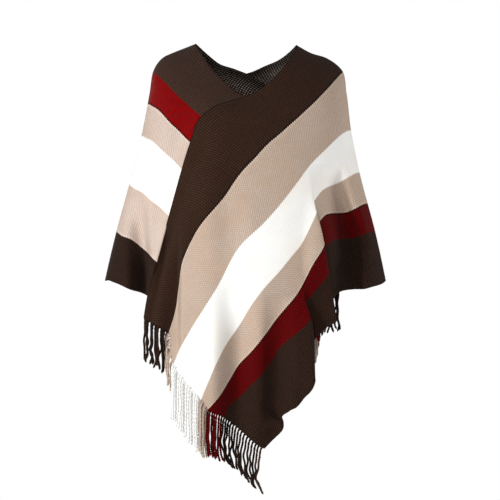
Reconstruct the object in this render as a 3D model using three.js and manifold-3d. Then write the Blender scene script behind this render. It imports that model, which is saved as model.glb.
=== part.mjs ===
// A poncho of two knitted rectangles, filled out as it is worn and hollow inside.
// Millimetres. +Z is up, -Y is the front and +X is the wearer's left.
// The origin lies between the two highest points of the neck edge, where the shoulders carry the cloth.
import * as THREE from "three";
import Module from "manifold-3d";
import { mergeVertices } from "three/addons/utils/BufferGeometryUtils.js";

// Driving sizes of the cut
const PANEL_WIDTH = 641;      // across the stripes, neck edge to hem
const SEAM_LENGTH = 701;      // along the neck-side edge, fringed end to the point of the neck
const SIDE_ALONG = 916;       // along the same edge, fringed end to the shoulder's highest point
const PANEL_LENGTH = 1116;    // along the same edge, fringed end to sewn end
const WALL = 2.4;             // knitted cloth
const SEAM_GAP = 0.3;         // between two pieces at a seam

// How the cloth hangs
const BACK_LIFT = 0.06;       // the back hangs this share higher than the front
const SEAM_VALLEY = 20;       // how deep the joining seam lies between its two panels
const SEAM_RIDGE = 8;         // how far the cloth beside the seam stands out
const RIDGE_ACROSS = 85;      // where that ridge runs, from the neck-side edge
const RIDGE_REACH = 60;
const VALLEY_REACH = 70;
const VALLEY_START = 40;      // below the point of the neck
const VALLEY_FADE = 160;
const END_BLEND_ALONG = 1010; // from here on the sewn end is drawn to the other panel's edge
const BACK_LIFT_FADE = 0.7;   // cosine of the turn behind which the whole lift holds
const FOLD_STEEPNESS = 2.6;   // a cascade fold's step in, over half its width
const FOLD_LEAD = 0.5;        // how far before the fold's middle it steps in, in halves of its width
const FOLD_SPREAD = 3.2;      // how far that step reaches, in halves of its width

// Grid of the wall
const CELL_ACROSS = 38;
const CELL_SEAM_TAIL = 30;
const FOLDED_UNTIL = 788;     // along the panel, past its first fold
const CASCADE_UNTIL = 846;    // past its second
const FOLDED_CELLS = 10;
const CASCADE_CELLS = 9;
const ARM_CELLS = 3;
const BACK_CELLS = 7;
const NUDGE = 0.5;            // step to either side that gives a direction in the cloth
const END_NUDGE = 3;          // the same along the fringed end

// The filled-out form, level rings at a drop below the neck edge: where the ring lies at the wearer's left
// and right side, at the front and at the back
const RINGS = table(["drop", "leftX", "rightX", "sideZ", "frontY", "frontZ", "backY", "backZ"], [
  [0, 121, 121, 0, 108, -134, 92, -55],
  [40, 156, 175, -19, 128, -168, 110, -90],
  [80, 193, 200, -31, 143, -206, 122, -128],
  [128, 230, 221, -61, 157, -252, 133, -175],
  [182, 240, 230, -114, 165, -305, 138, -229],
  [273, 251, 247, -204, 168, -396, 139, -320],
  [380, 272, 272, -307, 164, -503, 135, -427],
  [528, 310, 311, -451, 157, -651, 128, -575],
  [641, 334, 337, -562, 151, -764, 124, -688],
  [860, 372, 375, -778, 143, -983, 118, -907],
]);

// The neck-side edge of a panel, fringed end to sewn end: its turn about the wearer in degrees (0 is the
// front, 90 the wearer's left) and its drop below the neck
const NECK_SIDE_EDGE = table(["along", "turn", "drop"], [
  [0, -45.6, 630],
  [60, -45.5, 578],
  [187, -43.8, 488],
  [300, -41.5, 374],
  [426, -37.6, 247],
  [500, -34, 175],
  [571, -28.5, 99],
  [640, -17.5, 37],
  [701, 0, 1],
  [735, 14, -7],
  [790, 38, -2],
  [850, 62, 4],
  [916, 90, 0],
  [1010, 135, -4],
  [1063, 157.5, -9],
  [1116, 180, 0],
]);

// Sections along a panel: the turn and drop of the lines 130, 275, 380, 456, 528 and 641 from the neck side
const LINES_ACROSS = [0, 130, 275, 380, 456, 528, 641];
const SECTIONS = table([
  "along", "turn130", "drop130", "turn275", "drop275", "turn380", "drop380",
  "turn456", "drop456", "turn528", "drop528", "turn641", "drop641",
], [
  [0, -32.7, 617, -29, 675, -17, 726, -14, 744, -8, 756, 6.5, 827],
  [75, -31, 562, -26, 621, -14.5, 681, -10, 708, -6, 729, 9.5, 812],
  [150, -30.5, 505, -22, 565, -11.5, 630, -6.5, 670, -2, 708, 13, 795],
  [225, -30, 438, -17.5, 511, -8, 585, -3, 634, 1.5, 685, 14, 779],
  [300, -26, 371, -13, 460, -3.5, 545, 1.5, 606, 5, 664, 13.5, 766],
  [471, -12, 255, -4, 365, 4.5, 477, 9, 558, 11, 627, 16.5, 753],
  [641, 3, 165, 9, 309, 14.5, 432, 17, 518, 17.5, 594, 22, 736],
  [707, 14, 129, 18, 280, 22.5, 406, 24, 492, 27, 567, 26.5, 706],
  [741, 21.5, 120, 23, 266, 28, 392, 28, 472, 29.5, 545, 29, 657],
  [765, 27, 116, 29, 252, 32, 373, 32, 450, 33, 516, 34, 613],
  [788, 33, 115, 34, 242, 36.5, 350, 37.5, 428, 38, 498, 39, 609],
  [810, 37.5, 115, 38, 238, 39, 332, 39.5, 398, 40, 469, 41, 586],
  [832, 44, 117, 44, 238, 43.5, 320, 43.5, 380, 43.5, 446, 43.5, 563],
  [866, 60, 123, 61, 247, 60.5, 348, 60, 423, 60, 488, 60, 607],
  [890, 74.5, 128, 75, 262, 75, 366, 74.5, 442, 74.5, 512, 74.5, 634],
  [916, 90, 132, 90, 276, 90, 381, 90, 457, 90, 529, 90, 641],
  [960, 107, 124, 105.5, 272, 105.5, 379, 105.5, 457, 105.5, 527, 105.5, 626],
  [1010, 121, 114, 118, 257, 117, 365, 117, 442, 117, 511, 117, 608],
  [1116, 151, 99, 141, 248, 138, 352, 136, 432, 135, 499, 133.5, 577],
]);

// Folds that hang like a cascade. Each starts at its line from the neck side and is full at the next;
// its front layer overhangs by the tuck, and the layer behind it lies deeper.
const FOLD_COLUMNS = ["along", "half", "start", "full", "tuck", "depth"];
const LEFT_FOLDS = table(FOLD_COLUMNS, [
  [741, 34, 455, 560, 9, 46],
  [810, 22, 325, 440, 7, 40],
  [235, 60, 560, 630, 0, 14],
]);
const RIGHT_FOLDS = table(FOLD_COLUMNS, [
  [744, 34, 470, 575, 8, 40],
  [808, 22, 310, 430, 6.5, 36],
  [215, 60, 550, 630, 2.5, 14],
]);

// Stripes of each panel, neck side to hem, with the colour of the yarn
const BROWN = 0x33241c;
const BEIGE = 0xcdb59c;
const CREAM = 0xf3f1ea;
const RED = 0x87060d;
const STRIPE_COLUMNS = ["name", "from", "to", "color", "strands", "drop"];
const LEFT_STRIPES = table(STRIPE_COLUMNS, [
  ["neck_brown", 0, 130, BROWN, 13, 96],
  ["upper_beige", 130, 275, BEIGE, 9, 72],
  ["cream", 275, 380, CREAM, 12, 128],
  ["lower_beige", 380, 456, BEIGE, 6, 118],
  ["red", 456, 528, RED, 7, 106],
  ["hem_brown", 528, 641, BROWN, 15, 104],
]);
const RIGHT_STRIPES = table(STRIPE_COLUMNS, [
  ["neck_brown", 0, 132, BROWN, 13, 112],
  ["red", 132, 205, RED, 5, 118],
  ["upper_beige", 205, 280, BEIGE, 6, 124],
  ["cream", 280, 401, CREAM, 12, 130],
  ["lower_beige", 401, 514, BEIGE, 11, 116],
  ["hem_brown", 514, 641, BROWN, 13, 112],
]);

// Fringe
const STRIP_WIDTH = 4;
const STRIP_THICKNESS = 2.6;
const BAND_GAP = 0.3;
const STRAND_ROOT = 1.5;      // radius
const STRAND_TIP = 1.4;
const STRAND_REACH = 10;      // out from the edge before it falls
const STRAND_BEND = 14;       // how far it falls in its bend
const BEND_ACROSS = 0.6;      // the bend's middle point, as shares of that reach and of that fall
const BEND_DOWN = 0.35;
const LAYER_STEP = 4.4;       // strands hang in three layers, one behind another
const LAYERS = 3;
const STRAND_PITCH = 1.6;     // least step along the edge from one strand to the next
const STRAND_UNEVEN = 4;      // how much longer or shorter a strand is than the rest
const UNEVEN_TURN = 2.4;      // radians of the sine behind that, from one strand to the next

// Small helpers
function table(columns, rows) {
  return rows.map((row) => Object.fromEntries(columns.map((name, k) => [name, row[k]])));
}

function column(rows, name) {
  return rows.map((row) => row[name]);
}

function smooth(t) {
  const s = Math.min(Math.max(t, 0), 1);
  return s * s * (3 - 2 * s);
}

// A hump of height 1 that ends at t = -1 and 1
function hump(t) {
  return Math.abs(t) < 1 ? Math.cos((Math.PI * t) / 2) ** 2 : 0;
}

// Cubic curve through the points (xs, ys), with the mean of its neighbours' slopes at each point
function curve(xs, ys, x) {
  const last = xs.length - 1;
  let i = 0;
  while (i < last - 1 && x >= xs[i + 1]) i += 1;
  const slope = (k) => (ys[k + 1] - ys[k]) / (xs[k + 1] - xs[k]);
  const tangent = (k) => {
    if (k === 0) return slope(0);
    if (k === last) return slope(last - 1);
    const before = xs[k] - xs[k - 1];
    const after = xs[k + 1] - xs[k];
    return (slope(k) * before + slope(k - 1) * after) / (before + after);
  };
  const h = xs[i + 1] - xs[i];
  const t = (x - xs[i]) / h;
  const s = 1 - t;
  return s * s * (1 + 2 * t) * ys[i] + t * s * s * h * tangent(i)
    + t * t * (3 - 2 * t) * ys[i + 1] - t * t * s * h * tangent(i + 1);
}

// The form
const RING_DROPS = column(RINGS, "drop");
const ringValue = Object.fromEntries(
  Object.keys(RINGS[0]).map((name) => [name, column(RINGS, name)]));

function ring(name, drop) {
  return curve(RING_DROPS, ringValue[name], drop);
}

// The ring's half width on the side that a turn faces
function ringSide(turn, drop) {
  return Math.sin(turn) > 0 ? ring("leftX", drop) : ring("rightX", drop);
}

// Half depth, signed, and height of the ring's middle, at the front or at the back
function ringMiddle(turn, drop) {
  const front = Math.cos(turn) > 0;
  return {
    y: front ? -ring("frontY", drop) : ring("backY", drop),
    z: front ? ring("frontZ", drop) : ring("backZ", drop),
  };
}

function formPoint(turn, drop) {
  const middle = ringMiddle(turn, drop);
  const sideZ = ring("sideZ", drop);
  const c = Math.cos(turn);
  return new THREE.Vector3(
    ringSide(turn, drop) * Math.sin(turn),
    middle.y * Math.abs(c),
    sideZ + (middle.z - sideZ) * c * c);
}

// Level direction straight out of the form
function formOut(turn, drop) {
  const depth = Math.abs(ringMiddle(turn, drop).y);
  return new THREE.Vector3(
    depth * Math.sin(turn),
    -ringSide(turn, drop) * Math.cos(turn),
    0).normalize();
}

// How a panel lies on the form
const EDGE_ALONG = column(NECK_SIDE_EDGE, "along");
const EDGE_TURN = column(NECK_SIDE_EDGE, "turn");
const EDGE_DROP = column(NECK_SIDE_EDGE, "drop");
const SECTION_ALONG = column(SECTIONS, "along");
const SECTION_TURN = LINES_ACROSS.slice(1).map((line) => column(SECTIONS, `turn${line}`));
const SECTION_DROP = LINES_ACROSS.slice(1).map((line) => column(SECTIONS, `drop${line}`));

function edgeTurn(along) {
  return curve(EDGE_ALONG, EDGE_TURN, along);
}

function edgeDrop(along) {
  return curve(EDGE_ALONG, EDGE_DROP, along);
}

// Turn in degrees and drop of the point that is `along` from the fringed end and `across` from the neck side.
// The sewn end is drawn to the neck-side edge of the other panel, which lies half a turn away.
function lay(along, across) {
  const turns = [edgeTurn(along), ...SECTION_TURN.map((values) => curve(SECTION_ALONG, values, along))];
  const drops = [edgeDrop(along), ...SECTION_DROP.map((values) => curve(SECTION_ALONG, values, along))];
  const endTurns = [180, ...SECTION_TURN.map((values) => values[values.length - 1])];
  const endDrops = [0, ...SECTION_DROP.map((values) => values[values.length - 1])];
  const pull = smooth((along - END_BLEND_ALONG) / (PANEL_LENGTH - END_BLEND_ALONG));
  const otherEdge = SEAM_LENGTH - across;
  return {
    turn: curve(LINES_ACROSS, turns, across)
      + pull * (edgeTurn(otherEdge) + 180 - curve(LINES_ACROSS, endTurns, across)),
    drop: curve(LINES_ACROSS, drops, across)
      + pull * (edgeDrop(otherEdge) - curve(LINES_ACROSS, endDrops, across)),
  };
}

// What the folds and the seam's valley add: a change of turn in degrees, and a step out
function foldShift(folds, along, across) {
  let turn = 0;
  let out = 0;
  for (const fold of folds) {
    const t = (along - fold.along) / fold.half;
    const grown = smooth((across - fold.start) / (fold.full - fold.start));
    turn -= fold.tuck * grown * hump(t);
    const step = Math.tanh(FOLD_STEEPNESS * (t + FOLD_LEAD));
    out -= (fold.depth / 2) * grown * step * hump((t + FOLD_LEAD) / FOLD_SPREAD);
  }
  const atSeam = smooth((SEAM_LENGTH - VALLEY_START - along) / VALLEY_FADE);
  const atSewnEnd = smooth((across - VALLEY_START) / VALLEY_FADE);
  out -= SEAM_VALLEY * atSeam * (1 - smooth(across / VALLEY_REACH));
  out += SEAM_RIDGE * atSeam * hump((across - RIDGE_ACROSS) / RIDGE_REACH);
  out -= SEAM_VALLEY * atSewnEnd * (1 - smooth((PANEL_LENGTH - along) / VALLEY_REACH));
  return { turn, out };
}

// Middle of the cloth and the form's own outward direction, for a panel turned by `halfTurn` degrees
function clothPoint(panel, along, across) {
  const laid = lay(along, across);
  const shift = foldShift(panel.folds, along, across);
  const turn = THREE.MathUtils.degToRad(laid.turn + shift.turn + panel.halfTurn);
  const behind = Math.max(0, -Math.cos(turn));
  const drop = laid.drop * (1 - BACK_LIFT * smooth(behind / BACK_LIFT_FADE));
  const out = formOut(turn, drop);
  return { point: formPoint(turn, drop).addScaledVector(out, shift.out), out };
}

// Lines across a panel: every stripe border, and steps of about one cell between them
function rowsAcross(stripes) {
  const rows = [0];
  for (const stripe of stripes) {
    const cells = Math.ceil((stripe.to - stripe.from) / CELL_ACROSS - 0.1);
    for (let k = 1; k <= cells; k += 1) {
      rows.push(stripe.from + ((stripe.to - stripe.from) * k) / cells);
    }
  }
  return rows;
}

// Even steps past `from`, the last of them at `to`
function evenSteps(from, to, count) {
  return Array.from({ length: count }, (_, k) => from + ((to - from) * (k + 1)) / count);
}

// Lines along a panel. At the seam they meet the other panel's rows, so both edges have the same points.
function columnsAlong(otherRows) {
  return [
    0,
    CELL_SEAM_TAIL,
    ...otherRows.map((across) => SEAM_LENGTH - across).reverse(),
    ...evenSteps(SEAM_LENGTH, FOLDED_UNTIL, FOLDED_CELLS),
    ...evenSteps(FOLDED_UNTIL, CASCADE_UNTIL, CASCADE_CELLS),
    ...evenSteps(CASCADE_UNTIL, SIDE_ALONG, ARM_CELLS),
    ...evenSteps(SIDE_ALONG, PANEL_LENGTH, BACK_CELLS),
  ];
}

// Direction in the cloth, square to a line through `before` and `after`
function squareTo(before, after, out) {
  return new THREE.Vector3().subVectors(after, before).cross(out).normalize();
}

// The grid of a panel: middle points and the direction of the wall's thickness
function panelGrid(panel) {
  const { columns, rows } = panel;
  return columns.map((along, i) => rows.map((across, j) => {
    const { point, out } = clothPoint(panel, along, across);
    const alongStep = new THREE.Vector3().subVectors(
      clothPoint(panel, along + NUDGE, across).point, clothPoint(panel, along - NUDGE, across).point);
    const acrossStep = new THREE.Vector3().subVectors(
      clothPoint(panel, along, across + NUDGE).point, clothPoint(panel, along, across - NUDGE).point);
    const normal = new THREE.Vector3().crossVectors(acrossStep, alongStep).normalize();
    const onSeam = j === 0 && along <= SEAM_LENGTH;
    const onSewnEnd = i === columns.length - 1;
    if (onSeam) {
      const away = squareTo(point, point.clone().add(alongStep), out);
      return { point: point.addScaledVector(away, SEAM_GAP / 2), normal: out };
    }
    if (onSewnEnd) {
      const away = squareTo(point, point.clone().sub(acrossStep), out);
      return { point: point.addScaledVector(away, -SEAM_GAP / 2), normal: out };
    }
    return { point, normal };
  }));
}

// Closed wall round a grid of middle points
function wallGeometry(grid, thickness) {
  const wide = grid.length;
  const high = grid[0].length;
  const positions = [];
  for (const side of [0.5, -0.5]) {
    for (const line of grid) {
      for (const { point, normal } of line) {
        positions.push(...point.clone().addScaledVector(normal, side * thickness).toArray());
      }
    }
  }
  const outer = (i, j) => i * high + j;
  const inner = (i, j) => wide * high + outer(i, j);
  const faces = [];
  const quad = (a, b, c, d) => faces.push(a, b, c, a, c, d);
  for (let i = 0; i < wide - 1; i += 1) {
    for (let j = 0; j < high - 1; j += 1) {
      quad(outer(i, j), outer(i, j + 1), outer(i + 1, j + 1), outer(i + 1, j));
      quad(inner(i, j), inner(i + 1, j), inner(i + 1, j + 1), inner(i, j + 1));
    }
    quad(outer(i, 0), outer(i + 1, 0), inner(i + 1, 0), inner(i, 0));
    quad(outer(i + 1, high - 1), outer(i, high - 1), inner(i, high - 1), inner(i + 1, high - 1));
  }
  for (let j = 0; j < high - 1; j += 1) {
    quad(outer(0, j + 1), outer(0, j), inner(0, j), inner(0, j + 1));
    quad(outer(wide - 1, j), outer(wide - 1, j + 1), inner(wide - 1, j + 1), inner(wide - 1, j));
  }
  const geometry = new THREE.BufferGeometry();
  geometry.setAttribute("position", new THREE.Float32BufferAttribute(positions, 3));
  geometry.setIndex(faces);
  return geometry;
}

// Stripe of a panel at a distance across it
function stripeAt(stripes, across) {
  return stripes.find((stripe) => across < stripe.to) ?? stripes[stripes.length - 1];
}

// The wall with the stripes' colours on its corners, each stripe on its own copies of them
function stripedGeometry(panel) {
  const wall = wallGeometry(panel.grid, WALL);
  const split = wall.toNonIndexed();
  const high = panel.rows.length;
  const corners = wall.getIndex().array;
  const colors = [];
  for (let k = 0; k < corners.length; k += 3) {
    const across = [0, 1, 2].map((c) => panel.rows[corners[k + c] % high]);
    const middle = (Math.min(...across) + Math.max(...across)) / 2;
    const color = new THREE.Color(stripeAt(panel.stripes, middle).color);
    for (let c = 0; c < 3; c += 1) colors.push(color.r, color.g, color.b);
  }
  split.setAttribute("color", new THREE.Float32BufferAttribute(colors, 3));
  return split;
}

// The fringed end of a panel as a frame at a distance across it: middle point, outward direction of the
// wall, and the direction in the cloth that leaves the edge square
function endFrame(panel, across) {
  const line = panel.grid[0];
  const rows = panel.rows;
  let j = 0;
  while (j < rows.length - 2 && across > rows[j + 1]) j += 1;
  const t = (across - rows[j]) / (rows[j + 1] - rows[j]);
  const point = new THREE.Vector3().lerpVectors(line[j].point, line[j + 1].point, t);
  const normal = new THREE.Vector3().lerpVectors(line[j].normal, line[j + 1].normal, t).normalize();
  const away = squareTo(line[j].point, line[j + 1].point, normal);
  return { point, normal, away };
}

function frameAt(panel, across) {
  const before = endFrame(panel, Math.max(across - END_NUDGE, 0));
  const after = endFrame(panel, Math.min(across + END_NUDGE, PANEL_WIDTH));
  const here = endFrame(panel, across);
  return { ...here, away: before.away.add(after.away).normalize() };
}

// Narrow strip along one band of the fringed end, parted from the cloth by the seam gap
function stripGeometry(panel, from, to) {
  const stops = [from, ...panel.rows.filter((across) => across > from && across < to), to];
  const sections = stops.map((across) => {
    const { point, normal, away } = frameAt(panel, across);
    const near = point.clone().addScaledVector(away, SEAM_GAP);
    const far = point.clone().addScaledVector(away, SEAM_GAP + STRIP_WIDTH);
    const half = STRIP_THICKNESS / 2;
    return [
      near.clone().addScaledVector(normal, half),
      far.clone().addScaledVector(normal, half),
      far.clone().addScaledVector(normal, -half),
      near.clone().addScaledVector(normal, -half),
    ];
  });
  return prismGeometry(sections);
}

// Closed prism through a list of sections, each a ring of the same number of points
function prismGeometry(sections) {
  const sides = sections[0].length;
  const positions = sections.flat().flatMap((p) => p.toArray());
  const faces = [];
  const at = (s, k) => s * sides + (k % sides);
  for (let s = 0; s < sections.length - 1; s += 1) {
    for (let k = 0; k < sides; k += 1) {
      faces.push(at(s, k), at(s, k + 1), at(s + 1, k + 1), at(s, k), at(s + 1, k + 1), at(s + 1, k));
    }
  }
  for (let k = 1; k < sides - 1; k += 1) {
    faces.push(at(0, 0), at(0, k + 1), at(0, k));
    faces.push(at(sections.length - 1, 0), at(sections.length - 1, k), at(sections.length - 1, k + 1));
  }
  const geometry = new THREE.BufferGeometry();
  geometry.setAttribute("position", new THREE.Float32BufferAttribute(positions, 3));
  geometry.setIndex(faces);
  return geometry;
}

// Every strand of a panel's fringe, neck side to hem: where it starts and where it falls. Each falls a
// little further along than the one before, so that none crosses its neighbour.
function placeStrands(panel) {
  const ends = [0, PANEL_WIDTH].map((across) => endFrame(panel, across).point);
  const along = new THREE.Vector3().subVectors(ends[1], ends[0]).setZ(0).normalize();
  const strands = panel.stripes.flatMap((stripe) => {
    const from = stripe.from + BAND_GAP / 2;
    const to = stripe.to - BAND_GAP / 2;
    return Array.from({ length: stripe.strands }, (_, k) => {
      const across = from + ((k + 0.5) * (to - from)) / stripe.strands;
      const frame = frameAt(panel, across);
      const level = new THREE.Vector3(frame.normal.x, frame.normal.y, 0).normalize();
      const fall = frame.point.clone().addScaledVector(frame.away, STRAND_REACH);
      return { stripe, frame, level, fall };
    });
  });
  for (let k = strands.length - 2; k >= 0; k -= 1) {
    const room = strands[k + 1].fall.dot(along) - STRAND_PITCH - strands[k].fall.dot(along);
    if (room < 0) strands[k].fall.addScaledVector(along, room);
  }
  strands.forEach((strand, k) => {
    const layer = ((k % LAYERS) - (LAYERS - 1) / 2) * LAYER_STEP;
    strand.fall.addScaledVector(strand.level, layer);
    strand.fall.z -= STRAND_BEND;
    const longer = STRAND_UNEVEN * Math.sin(k * UNEVEN_TURN);
    strand.bottom = strand.frame.point.z - strand.stripe.drop - longer;
  });
  return strands;
}

// One strand: it leaves the edge square, bends and falls straight
function strandGeometry({ frame, level, fall, bottom }) {
  const root = frame.point.clone().addScaledVector(frame.away, SEAM_GAP + STRIP_WIDTH / 2);
  const bend = root.clone().lerp(fall, BEND_ACROSS);
  bend.z = root.z + (fall.z - root.z) * BEND_DOWN;
  const path = [root, bend, fall, new THREE.Vector3(fall.x, fall.y, bottom)];
  const sections = path.map((center, s) => {
    const before = path[Math.max(s - 1, 0)];
    const after = path[Math.min(s + 1, path.length - 1)];
    const forward = new THREE.Vector3().subVectors(after, before).normalize();
    const outward = level.clone().addScaledVector(forward, -level.dot(forward)).normalize();
    const sideways = new THREE.Vector3().crossVectors(forward, outward);
    const radius = s < path.length - 1 ? STRAND_ROOT : STRAND_TIP;
    return [0, 1, 2].map((k) => {
      const angle = (k * 2 * Math.PI) / 3;
      return center.clone()
        .addScaledVector(outward, radius * Math.cos(angle))
        .addScaledVector(sideways, radius * Math.sin(angle));
    });
  });
  return prismGeometry(sections);
}

// Joining of closed bodies
const wasm = await Module();
wasm.setup();

function toSolid(geometry) {
  const bare = geometry.clone();
  for (const name of Object.keys(bare.attributes)) {
    if (name !== "position") bare.deleteAttribute(name);
  }
  const merged = mergeVertices(bare);
  return new wasm.Manifold(new wasm.Mesh({
    numProp: 3,
    vertProperties: new Float32Array(merged.attributes.position.array),
    triVerts: new Uint32Array(merged.getIndex().array),
  }));
}

function toGeometry(solid) {
  const mesh = solid.getMesh();
  const geometry = new THREE.BufferGeometry();
  geometry.setAttribute("position", new THREE.BufferAttribute(mesh.vertProperties, 3));
  geometry.setIndex(new THREE.BufferAttribute(mesh.triVerts, 1));
  return geometry;
}

function bandGeometry(panel, stripe) {
  const strip = stripGeometry(panel, stripe.from + BAND_GAP / 2, stripe.to - BAND_GAP / 2);
  const strands = panel.strands.filter((strand) => strand.stripe === stripe);
  return toGeometry(strands.reduce(
    (band, strand) => band.add(toSolid(strandGeometry(strand))), toSolid(strip)));
}

// The garment
function makePanel(name, halfTurn, folds, stripes, otherStripes) {
  const rows = rowsAcross(stripes);
  const columns = columnsAlong(rowsAcross(otherStripes));
  const panel = { name, halfTurn, folds, stripes, rows, columns };
  panel.grid = panelGrid(panel);
  panel.strands = placeStrands(panel);
  return panel;
}

function yarnMaterial(color) {
  return new THREE.MeshStandardMaterial({ color, roughness: 0.92, metalness: 0 });
}

const left = makePanel("panel_left", 0, LEFT_FOLDS, LEFT_STRIPES, RIGHT_STRIPES);
const right = makePanel("panel_right", 180, RIGHT_FOLDS, RIGHT_STRIPES, LEFT_STRIPES);

const poncho = new THREE.Group();
for (const panel of [left, right]) {
  const knit = yarnMaterial(0xffffff);
  knit.vertexColors = true;
  const cloth = new THREE.Mesh(stripedGeometry(panel), knit);
  cloth.name = panel.name;
  poncho.add(cloth);
}
for (const [panel, end] of [[left, "front"], [right, "back"]]) {
  for (const stripe of panel.stripes) {
    const fringe = new THREE.Mesh(bandGeometry(panel, stripe), yarnMaterial(stripe.color));
    fringe.name = `fringe_${end}_${stripe.name}`;
    poncho.add(fringe);
  }
}

export default poncho;
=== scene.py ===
"""A fringed poncho of two knitted rectangles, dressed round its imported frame.

Shapes are worked out in millimetres and become metres when a mesh is made. Materials, lights and the camera
are in metres. +Z is up, -Y is the front and +X is the wearer's left. A place on a panel is `along` it from
its fringed end and `across` it from its neck side; a place on the worn form is a turn about the middle in
degrees and a drop below the neck.
"""

import bpy
import numpy as np
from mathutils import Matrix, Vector


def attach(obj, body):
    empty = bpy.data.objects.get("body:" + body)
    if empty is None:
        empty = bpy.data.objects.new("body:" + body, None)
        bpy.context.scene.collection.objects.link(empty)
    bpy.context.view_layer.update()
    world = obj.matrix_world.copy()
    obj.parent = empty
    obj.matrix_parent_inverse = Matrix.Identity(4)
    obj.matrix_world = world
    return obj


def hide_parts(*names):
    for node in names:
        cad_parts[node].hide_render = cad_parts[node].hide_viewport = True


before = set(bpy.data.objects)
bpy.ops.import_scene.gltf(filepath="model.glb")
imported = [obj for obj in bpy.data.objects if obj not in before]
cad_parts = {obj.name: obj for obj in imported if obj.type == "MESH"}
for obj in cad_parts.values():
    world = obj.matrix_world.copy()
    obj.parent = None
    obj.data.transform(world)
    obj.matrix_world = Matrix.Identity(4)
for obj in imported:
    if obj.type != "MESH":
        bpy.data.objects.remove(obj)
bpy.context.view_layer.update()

MM = 0.001

# Sizes of the cut
PANEL_WIDTH = 641.0
PANEL_LENGTH = 1116.0
SEAM_LENGTH = 701.0         # from the fringed end to the point of the neck opening
SHOULDER_ALONG = 916.0
WALL = 2.4

# How the cloth hangs
BACK_LIFT = 0.06
BACK_FULL = 0.7             # cosine of the turn from the back at which the lift is whole
SEAM_VALLEY = 20.0
SEAM_RIDGE = 8.0
RIDGE_ACROSS = 85.0
RIDGE_REACH = 60.0
VALLEY_REACH = 70.0
VALLEY_START = 40.0
VALLEY_FADE = 160.0
END_BLEND_ALONG = 1010.0

# Level rings of the worn form: drop, left x, right x, side z, front y, front z, back y, back z
RINGS = np.array([
    [0, 121, 121, 0, 108, -134, 92, -55],
    [40, 156, 175, -19, 128, -168, 110, -90],
    [80, 193, 200, -31, 143, -206, 122, -128],
    [128, 230, 221, -61, 157, -252, 133, -175],
    [182, 240, 230, -114, 165, -305, 138, -229],
    [273, 251, 247, -204, 168, -396, 139, -320],
    [380, 272, 272, -307, 164, -503, 135, -427],
    [528, 310, 311, -451, 157, -651, 128, -575],
    [641, 334, 337, -562, 151, -764, 124, -688],
    [860, 372, 375, -778, 143, -983, 118, -907],
], float)

# Neck-side edge of a panel: along, turn, drop
NECK_SIDE_EDGE = np.array([
    [0, -45.6, 630],
    [60, -45.5, 578],
    [187, -43.8, 488],
    [300, -41.5, 374],
    [426, -37.6, 247],
    [500, -34, 175],
    [571, -28.5, 99],
    [640, -17.5, 37],
    [701, 0, 1],
    [735, 14, -7],
    [790, 38, -2],
    [850, 62, 4],
    [916, 90, 0],
    [1010, 135, -4],
    [1063, 157.5, -9],
    [1116, 180, 0],
], float)

# Sections along a panel: along, then turn and drop 130, 275, 380, 456, 528 and 641 from the neck side
LINES_ACROSS = np.array([0, 130, 275, 380, 456, 528, 641], float)
SECTIONS = np.array([
    [0, -32.7, 617, -29, 675, -17, 726, -14, 744, -8, 756, 6.5, 827],
    [75, -31, 562, -26, 621, -14.5, 681, -10, 708, -6, 729, 9.5, 812],
    [150, -30.5, 505, -22, 565, -11.5, 630, -6.5, 670, -2, 708, 13, 795],
    [225, -30, 438, -17.5, 511, -8, 585, -3, 634, 1.5, 685, 14, 779],
    [300, -26, 371, -13, 460, -3.5, 545, 1.5, 606, 5, 664, 13.5, 766],
    [471, -12, 255, -4, 365, 4.5, 477, 9, 558, 11, 627, 16.5, 753],
    [641, 3, 165, 9, 309, 14.5, 432, 17, 518, 17.5, 594, 22, 736],
    [707, 14, 129, 18, 280, 22.5, 406, 24, 492, 27, 567, 26.5, 706],
    [741, 21.5, 120, 23, 266, 28, 392, 28, 472, 29.5, 545, 29, 657],
    [765, 27, 116, 29, 252, 32, 373, 32, 450, 33, 516, 34, 613],
    [788, 33, 115, 34, 242, 36.5, 350, 37.5, 428, 38, 498, 39, 609],
    [810, 37.5, 115, 38, 238, 39, 332, 39.5, 398, 40, 469, 41, 586],
    [832, 44, 117, 44, 238, 43.5, 320, 43.5, 380, 43.5, 446, 43.5, 563],
    [866, 60, 123, 61, 247, 60.5, 348, 60, 423, 60, 488, 60, 607],
    [890, 74.5, 128, 75, 262, 75, 366, 74.5, 442, 74.5, 512, 74.5, 634],
    [916, 90, 132, 90, 276, 90, 381, 90, 457, 90, 529, 90, 641],
    [960, 107, 124, 105.5, 272, 105.5, 379, 105.5, 457, 105.5, 527, 105.5, 626],
    [1010, 121, 114, 118, 257, 117, 365, 117, 442, 117, 511, 117, 608],
    [1116, 151, 99, 141, 248, 138, 352, 136, 432, 135, 499, 133.5, 577],
], float)

# Cascade folds: middle along the panel, half width, where across the panel they start and where they are
# full, degrees of tuck, depth
LEFT_FOLDS = [
    (741, 34, 455, 560, 9, 46),
    (810, 22, 325, 440, 7, 40),
    (235, 60, 560, 630, 0, 14),
]
RIGHT_FOLDS = [
    (744, 34, 470, 575, 8, 40),
    (808, 22, 310, 430, 6.5, 36),
    (215, 60, 550, 630, 2.5, 14),
]
FOLD_STEEPNESS = 2.6        # of the step in before a fold
FOLD_AHEAD = 0.5            # how far before the fold's middle the step is, in half widths
FOLD_SPREAD = 3.2           # half width of the hump over the step, in the fold's half widths

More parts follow.
